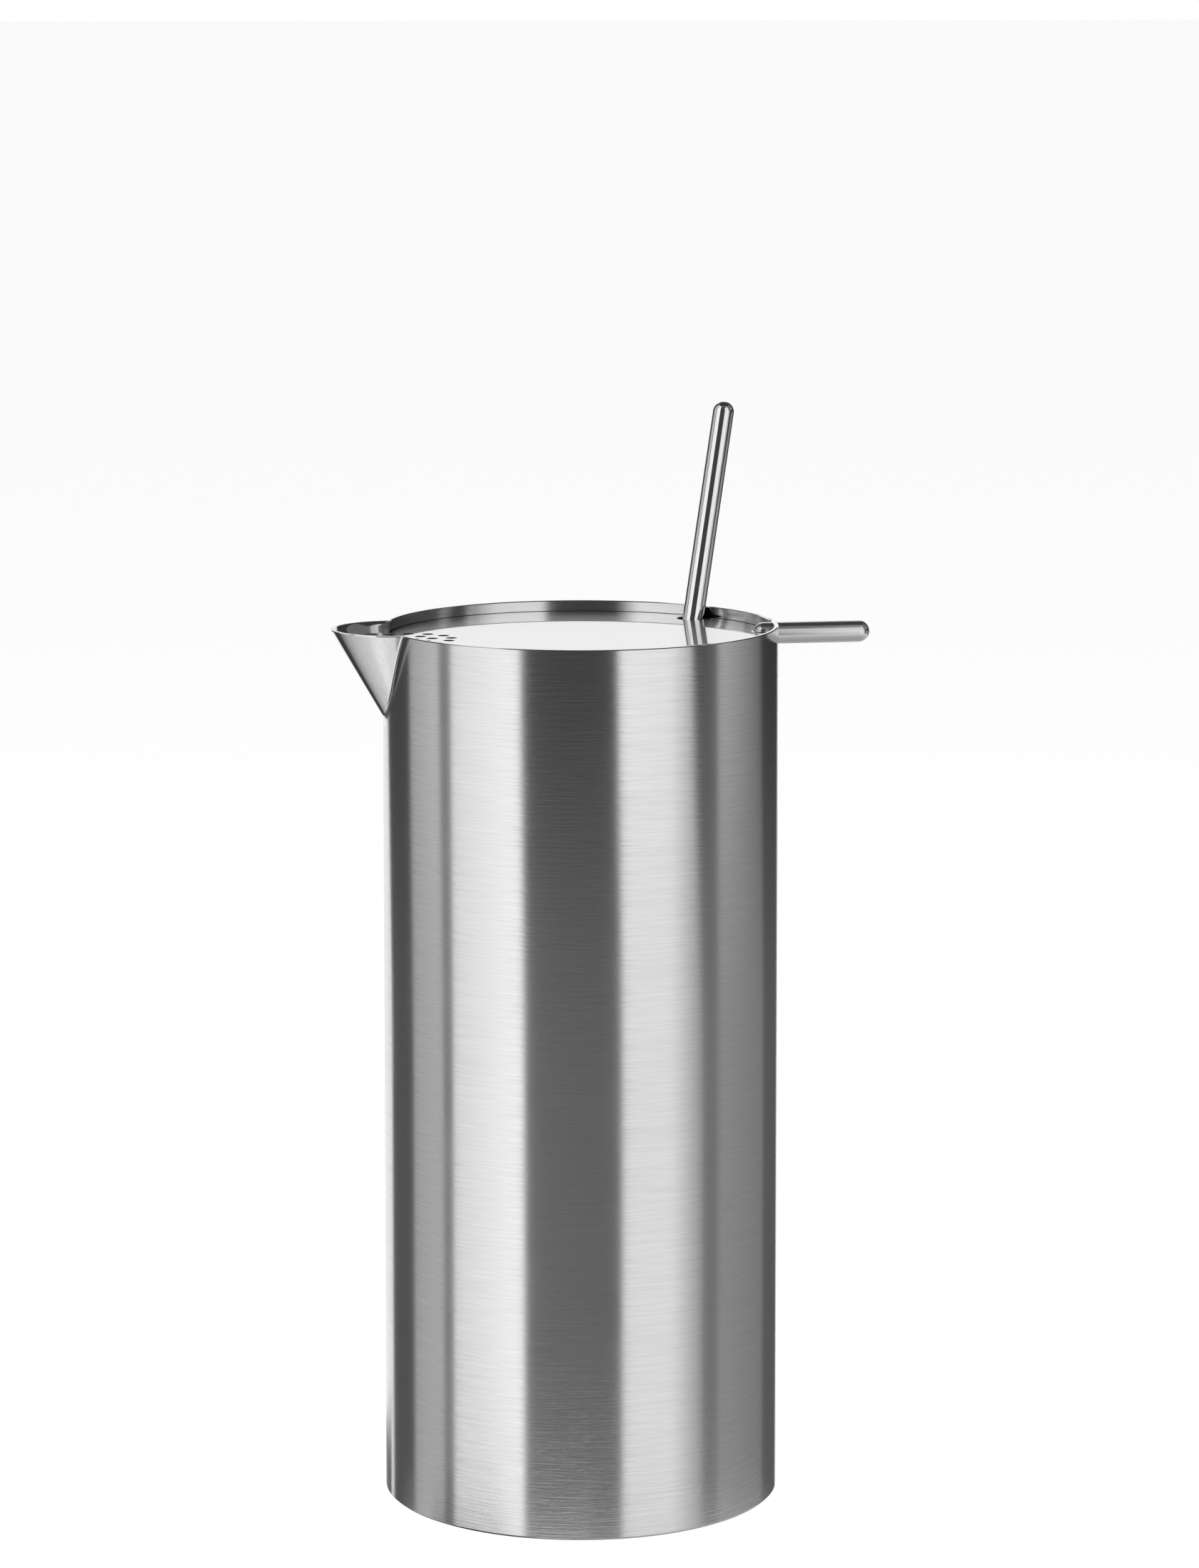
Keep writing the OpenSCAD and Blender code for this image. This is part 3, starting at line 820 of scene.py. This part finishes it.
class PITCHER_OT_handle(PitcherOperator, bpy.types.Operator):
    """Make the handle's rod and the weld round its root"""

    bl_idname = "pitcher.handle"
    bl_label = "Handle"

    def execute(self, context):
        rod = capsule_surface(HANDLE_BOX[0].x, HANDLE_BOX[1].x, HANDLE_RADIUS)
        rod = np.stack([rod[..., 2], rod[..., 1], HANDLE_HEIGHT - rod[..., 0]], axis=-1)
        bar = grid(rod, close_columns=True)
        make_piece("handle_bar", "lid", "handle_rod", bar, ["satin_handle"])
        weld = self.weld(context.scene.pitcher_vessel, context.scene.pitcher_lid)
        make_piece("handle_fillet", "lid", "handle_weld", weld, ["polished_weld"])
        return {"FINISHED"}

    def weld(self, vessel, lid):
        """A small hollow section carried round the root: straight, half a turn, and straight back.

        At a height h above its axis the rod's side lies sqrt(r^2 - h^2) away, where the section starts."""
        radius, leg, top = HANDLE_RADIUS, lid.handle_weld, LID_BOX[1].z
        sunk, centre = top - HANDLE_HEIGHT, HANDLE_BOX[0].x + radius
        straight = [vessel.diameter / 2 - vessel.wall - lid.gap - lid.bevel - leg - centre, 0, 0]
        t = np.linspace(0, 1, 8)
        beside = math.sqrt(radius ** 2 - sunk ** 2)
        away = np.concatenate([[beside - leg, beside - leg], beside + leg * t ** 2])
        away[2] = math.sqrt(radius ** 2 - (sunk + leg) ** 2)
        rise = np.concatenate([[0.0, leg], leg * (1 - t) ** 2])
        turn = np.linspace(np.pi / 2, 3 * np.pi / 2, 41)[:, None]
        bend = polar(away, turn, top + rise) + [centre, 0, 0]
        return capped(np.concatenate([bend[:1] + straight, bend, bend[-1:] + straight]))


class PITCHER_OT_stirrer(PitcherOperator, bpy.types.Operator):
    """Make the stirrer's rod, whose foot is scooped to the ball of its bowl"""

    bl_idname = "pitcher.stirrer"
    bl_label = "Stirrer"

    def execute(self, context):
        sizes, vessel = context.scene.pitcher_stirrer, context.scene.pitcher_vessel
        radius = sizes.diameter / 2
        foot = [on_ball(away, sizes) for away in np.linspace(0, radius, 6)]
        top = revolved(arc((0, sizes.rod - radius), radius, 0, np.pi / 2))
        shaft = grid(to_stirrer(np.concatenate([foot, top]), sizes, vessel), close_columns=True)
        make_piece("stirrer_shaft", "stirrer", "stirrer_rod", shaft, ["polished_stirrer"])
        return {"FINISHED"}


class PITCHER_OT_bowl(PitcherOperator, bpy.types.Operator):
    """Make the stirrer's bowl, a cap of a hollow ball, and the braze that holds it"""

    bl_idname = "pitcher.bowl"
    bl_label = "Bowl"

    def execute(self, context):
        sizes, vessel = context.scene.pitcher_stirrer, context.scene.pitcher_vessel
        centre, inner = ball_centre(sizes), sizes.ball - sizes.sheet
        outside = arc((0, -centre), sizes.ball, np.pi / 2, math.asin(centre / sizes.ball), count=28)
        inside = arc((0, -centre), inner, math.asin(centre / inner), np.pi / 2, count=28)
        cap = revolved(np.concatenate([outside, inside]), BOWL_COLUMNS)
        cap = np.stack([cap[..., 2], cap[..., 1], -cap[..., 0]], axis=-1)
        cup = grid(to_stirrer(cap, sizes, vessel), close_columns=True)
        make_piece("stirrer_cup", "stirrer", "stirrer_bowl", cup, ["polished_stirrer"])
        braze = self.braze(sizes, vessel)
        make_piece("stirrer_braze", "stirrer", "bowl_braze", braze, ["silver_braze"])
        return {"FINISHED"}

    def braze(self, sizes, vessel):
        """Hollow skirt round the rod: from the ball at r + leg in to the rod, a leg above the ball."""
        radius, leg = sizes.diameter / 2, sizes.braze
        buried = radius - leg / 2
        t = np.linspace(0, 1, 8)
        profile = [(buried, -leg / 2), *zip(radius + leg * (1 - t) ** 2, leg * t ** 2), (buried, leg)]
        rings = np.array([on_ball(away, sizes, above) for away, above in profile])
        return grid(to_stirrer(rings, sizes, vessel), close_rows=True, close_columns=True)


def panel_glow():
    """Stage material whose level is the mesh's own attribute, made once."""
    found = bpy.data.materials.get("panel_glow")
    if found:
        return found
    material = bpy.data.materials.new("panel_glow")
    tree = empty_tree(material)
    level = add_node(tree, "Attribute", attribute_name="level")
    glow = add_node(tree, "Emission", {"Color": WHITE, "Strength": level["Fac"]})
    add_node(tree, "OutputMaterial", {"Surface": glow["Emission"]})
    return material


def bearing(studio, degrees):
    """Angle round the pitcher in radians, from degrees that count from the camera to its right."""
    return np.radians(degrees) - studio.camera_turn - np.pi / 2


# Name, then from and to in degrees round the pitcher and the level at each, first high up and then low down
PANELS = (
    ("dark_left", (-152, -117.5, 0.065, 0.065), (-144, -113.8, 0.11, 0.11)),
    ("grey_left", (-117.5, -89.4, 0.46, 0.72), (-113.8, -86.4, 0.48, 0.58)),
    ("grey_left_near", (-89.4, -80.4, 0.22, 0.22), (-86.4, -78.8, 0.24, 0.24)),
    ("soft_light_left", (-80.4, -34.4, 1.00, 1.30), (-78.8, -32.4, 0.96, 1.32)),
    ("dark_middle", (-34.4, 21.4, 0.065, 0.06), (-32.4, 24.2, 0.19, 0.16)),
    ("soft_light_right", (21.4, 54, 1.18, 1.08), (24.2, 54, 1.02, 1.02)),
    ("soft_light_right_edge", (54, 67, 1.04, 0.60), (54, 75.5, 1.02, 0.38)),
    ("grey_right_near", (67, 86, 0.04, 0.16), (75.5, 87, 0.22, 0.22)),
    ("grey_right", (86, 128.8, 0.56, 0.15), (87, 134, 0.36, 0.25)),
    ("dark_right", (128.8, 165, 0.05, 0.04), (134, 167, 0.13, 0.11)),
)
# The nearer panels: from one angle to another, from one height to another in metres, and the levels there
EXTRAS = (
    ("dark_high", (9, 45), (3.25, 7.0), (0.03, 0.16)),
    ("soft_light_handle", (18, 45), (0.85, 3.25), (1.0, 1.0)),
    ("soft_light_spout", (45, 66), (2.6, 4.8), (0.85, 0.50)),
    ("grey_high", (66, 122), (1.6, 4.0), (0.18, 0.18)),
    ("soft_light_inside_left", (-34.4, -23), (0.25, 0.85), (1.3, 0.15)),
    ("soft_light_inside_right", (68, 74.2), (0.1, 1.0), (0.62, 0.5)),
    ("dark_inside_right", (74.2, 150), (0.1, 1.0), (0.06, 0.06)),
    ("dark_corner", (-174, -150), (-1.7, -0.84), (0.45, 0.0)),
    ("low_left", (-150, -56), (-2.6, -0.98), (0.05, 0.10)),
)
PANEL_COLUMNS = 24
# The nearer panels' distance, as a share of the others'
NEARER = 0.98
FLAG_X, FLAG_Y, FLAG_HEIGHT, FLAG_LEVEL = (-0.5, 0.85), (-0.4, 1.3), 1.3, 0.05
# The table's level goes by the distance where x is more than TABLE_SIDE, and by the angle elsewhere
TABLE_RADIUS, TABLE_HEIGHT, TABLE_SIDE = 0.95, -0.3, -0.05
TABLE_BY_DISTANCE = ((0.0, 0.15, 0.95), (0.40, 0.45, 0.75))
TABLE_BY_ANGLE = ((0, 60, 80, 100, 115, 127, 138, 144, 154, 162, 180),
                  (0.95, 0.88, 0.84, 0.76, 0.66, 0.50, 0.30, 0.06, 0.06, 0.30, 0.30))
# The table's bright spot: its level, its centre and how far it reaches along X and Y
SPOT_LEVEL, SPOT_X, SPOT_Y, SPOT_REACH = 1.12, -0.28, -0.18, (0.12, 0.13)
# The table's shade: angles and distances where it comes and goes, and the share of light that it takes
SHADE_ANGLES, SHADE_DISTANCES, SHADE = (48, 60, 102, 110), (0.53, 0.61), 0.92
# Name, degrees round the pitcher, and energy
LAMPS = (("lamp_left", -55.0, 22.0), ("lamp_right", 50.0, 20.0))
LAMP_SIZE, LAMP_AWAY, LAMP_HEIGHT, LAMP_TILT = (0.6, 0.9), 0.8, 0.7, math.radians(52)
# The surroundings' level as light, and the floor's colour and share of plain white
SKY_LEVEL, FLOOR_COLOUR, FLOOR_GLOW = 0.6, (0.9, 0.9, 0.9, 1.0), 0.9
SENSOR_WIDTH, CLIP_START, CLIP_END = 36.0, 0.05, 50.0


class PITCHER_OT_stage(PitcherOperator, bpy.types.Operator):
    """Set the floor, the white surroundings, the panels that the metal mirrors, the lamps and the camera"""

    bl_idname = "pitcher.stage"
    bl_label = "Stage"

    def execute(self, context):
        studio = context.scene.pitcher_studio
        self.surroundings(context.scene)
        self.floor(studio)
        for panel in PANELS:
            self.panel(studio, *panel)
        for extra in EXTRAS:
            self.extra(studio, *extra)
        self.flag()
        self.table()
        self.lamps(studio)
        self.camera(context.scene, studio)
        context.scene.view_settings.view_transform = "Standard"
        return {"FINISHED"}

    def add_stage(self, name, surface, material):
        """A mesh of the stage, which isn't part of the pitcher."""
        thing = mesh_object(name, surface, [material])
        return thing

    def mirrored(self, name, surface, level):
        """A mesh of the stage that glows at its own levels, and that only the metal sees."""
        thing = self.add_stage(name, surface, panel_glow())
        attribute = thing.data.attributes.new("level", "FLOAT", "POINT")
        attribute.data.foreach_set("value", np.asarray(level, dtype=np.float32).ravel())
        for ray in ("camera", "diffuse", "shadow", "transmission"):
            setattr(thing, "visible_" + ray, False)

    def surroundings(self, scene):
        """White to the camera and in the metal, and a softer level as light."""
        world = bpy.data.worlds.new("surroundings")
        scene.world = world
        tree = empty_tree(world)
        path = add_node(tree, "LightPath")
        seen = math_node(tree, "MAXIMUM", path["Is Camera Ray"], path["Is Glossy Ray"])
        seen = math_node(tree, "MAXIMUM", seen, path["Is Transmission Ray"])
        soft = add_node(tree, "Background", {"Color": WHITE, "Strength": SKY_LEVEL})
        white = add_node(tree, "Background", {"Color": WHITE, "Strength": 1.0})
        mix = add_node(tree, "MixShader", {0: seen, 1: soft[0], 2: white[0]})
        add_node(tree, "OutputWorld", {"Surface": mix[0]})

    def floor(self, studio):
        """Pale floor: white to the camera, with a share of plain diffuse that keeps the pitcher's shadow."""
        material = bpy.data.materials.new("pale_floor")
        tree = empty_tree(material)
        glow = add_node(tree, "Emission", {"Color": WHITE, "Strength": 1.0})
        plain = add_node(tree, "BsdfDiffuse", {"Color": FLOOR_COLOUR})
        path = add_node(tree, "LightPath")
        amount = math_node(tree, "MULTIPLY", path["Is Camera Ray"], FLOOR_GLOW)
        mix = add_node(tree, "MixShader", {0: amount, 1: plain[0], 2: glow[0]})
        add_node(tree, "OutputMaterial", {"Surface": mix[0]})
        half = studio.floor_size
        corners = np.array([[-half, -half, 0], [half, -half, 0], [half, half, 0], [-half, half, 0]])
        floor = self.add_stage("floor", (corners, np.array([[0, 1, 2, 3]])), material)
        floor.visible_glossy = False

    def panel(self, studio, name, upper, lower):
        """Upright panel on an arc round the pitcher: (R cos b, R sin b, z), with b counted from the camera.
        Between two heights its edges and its levels run straight from lower to upper."""
        along = np.linspace(0, 1, PANEL_COLUMNS)
        high = studio.gap_top if name == "dark_middle" else studio.panel_high
        height = np.array([-studio.panel_low, studio.fade_low, studio.fade_high, high])[:, None]
        start, end, first, last = np.array([lower, lower, upper, upper], float).T[..., None]
        turn = bearing(studio, start + (end - start) * along)
        self.mirrored(name, grid(polar(studio.panel_distance, turn, height)), first + (last - first) * along)

    def extra(self, studio, name, sides, heights, levels):
        """Upright panel a little nearer than the others, whose level runs evenly from side to side."""
        turn = bearing(studio, np.linspace(*sides, PANEL_COLUMNS))
        points = polar(studio.panel_distance * NEARER, turn, np.array(heights)[:, None])
        self.mirrored(name, grid(points), np.tile(np.linspace(*levels, PANEL_COLUMNS), (2, 1)))

    def flag(self):
        """Dark flag overhead, which the tops of the rods mirror."""
        x, y = np.meshgrid(np.linspace(*FLAG_X, 12), np.linspace(*FLAG_Y, 18))
        level = np.full(x.shape, FLAG_LEVEL)
        self.mirrored("dark_flag", grid(np.stack([x, y, np.full(x.shape, FLAG_HEIGHT)], axis=-1)), level)

    def table(self):
        """Table top with a bright spot, and with a shade where the wall beside the spout mirrors it.
        Angles are counted from the front to the spout and on to the back."""
        radius = np.linspace(0.0, TABLE_RADIUS, 39)[:, None]
        points, faces = grid(polar(radius, np.radians(np.linspace(0, 360, 145)), TABLE_HEIGHT))
        x, y = points[:, 0], points[:, 1]
        away, angle = np.hypot(x, y), np.degrees(np.arctan2(-x, -y))
        by_angle, by_distance = np.interp(angle, *TABLE_BY_ANGLE), np.interp(away, *TABLE_BY_DISTANCE)
        level = np.where(x < TABLE_SIDE, by_angle, by_distance)
        spot = np.exp(-((x - SPOT_X) / SPOT_REACH[0]) ** 2 - ((y - SPOT_Y) / SPOT_REACH[1]) ** 2)
        level += (SPOT_LEVEL - level) * spot
        beside = np.interp(angle, SHADE_ANGLES, (0, 1, 1, 0))
        level *= 1 - SHADE * beside * np.interp(away, SHADE_DISTANCES, (0, 1))
        self.mirrored("table_top", (points, faces), level)

    def lamps(self, studio):
        """Two soft lamps beside the pitcher, at a plain level."""
        for name, degrees, energy in LAMPS:
            light = bpy.data.lights.new(name, "AREA")
            light.energy = energy
            light.shape = "RECTANGLE"
            light.size, light.size_y = LAMP_SIZE
            lamp = placed(name, light)
            turn = bearing(studio, degrees)
            lamp.location = polar(LAMP_AWAY, turn, LAMP_HEIGHT)
            lamp.rotation_euler = (LAMP_TILT, 0, turn + math.pi / 2)
            lamp.visible_glossy = False

    def camera(self, scene, studio):
        """Camera at the photograph's place, found from the ellipses of the rim and the foot."""
        turn, distance, side = studio.camera_turn, studio.camera_distance, studio.camera_side
        view = bpy.data.cameras.new("camera")
        view.sensor_width = SENSOR_WIDTH
        view.lens = view.sensor_width * studio.focal_pixels / PHOTO_LONG_SIDE
        view.shift_y = studio.shift
        view.clip_start, view.clip_end = CLIP_START, CLIP_END
        camera = placed("camera", view)
        camera.location = (side * math.cos(turn) - distance * math.sin(turn),
                           -side * math.sin(turn) - distance * math.cos(turn), studio.camera_height)
        camera.rotation_euler = (math.pi / 2 - studio.camera_tilt, 0.0, -turn)
        scene.camera = camera


OPERATORS = (
    PITCHER_OT_wall, PITCHER_OT_base, PITCHER_OT_spout, PITCHER_OT_lid, PITCHER_OT_handle, PITCHER_OT_stirrer,
    PITCHER_OT_bowl, PITCHER_OT_stage,
)


class PITCHER_PT_panel(bpy.types.Panel):
    """Lists the pitcher's pieces"""

    bl_idname = "PITCHER_PT_panel"
    bl_label = "Cocktail Pitcher"
    bl_space_type = "VIEW_3D"
    bl_region_type = "UI"
    bl_category = "Pitcher"

    def draw(self, context):
        for operator in OPERATORS:
            self.layout.operator(operator.bl_idname)


GROUPS = {
    "pitcher_vessel": PitcherVesselSizes,
    "pitcher_lid": PitcherLidSizes,
    "pitcher_stirrer": PitcherStirrerSizes,
    "pitcher_finish": PitcherFinish,
    "pitcher_studio": PitcherStudio,
}
CLASSES = tuple(GROUPS.values()) + OPERATORS + (PITCHER_PT_panel,)


def register():
    for entry in CLASSES:
        bpy.utils.register_class(entry)
    for name, group in GROUPS.items():
        setattr(bpy.types.Scene, name, PointerProperty(type=group))


def unregister():
    for name in GROUPS:
        delattr(bpy.types.Scene, name)
    for entry in reversed(CLASSES):
        bpy.utils.unregister_class(entry)


def main():
    register()
    bpy.ops.pitcher.stage()
    bpy.ops.pitcher.wall()
    bpy.ops.pitcher.base()
    bpy.ops.pitcher.spout()
    bpy.ops.pitcher.lid()
    bpy.ops.pitcher.handle()
    bpy.ops.pitcher.stirrer()
    bpy.ops.pitcher.bowl()


if __name__ == "__main__":
    main()
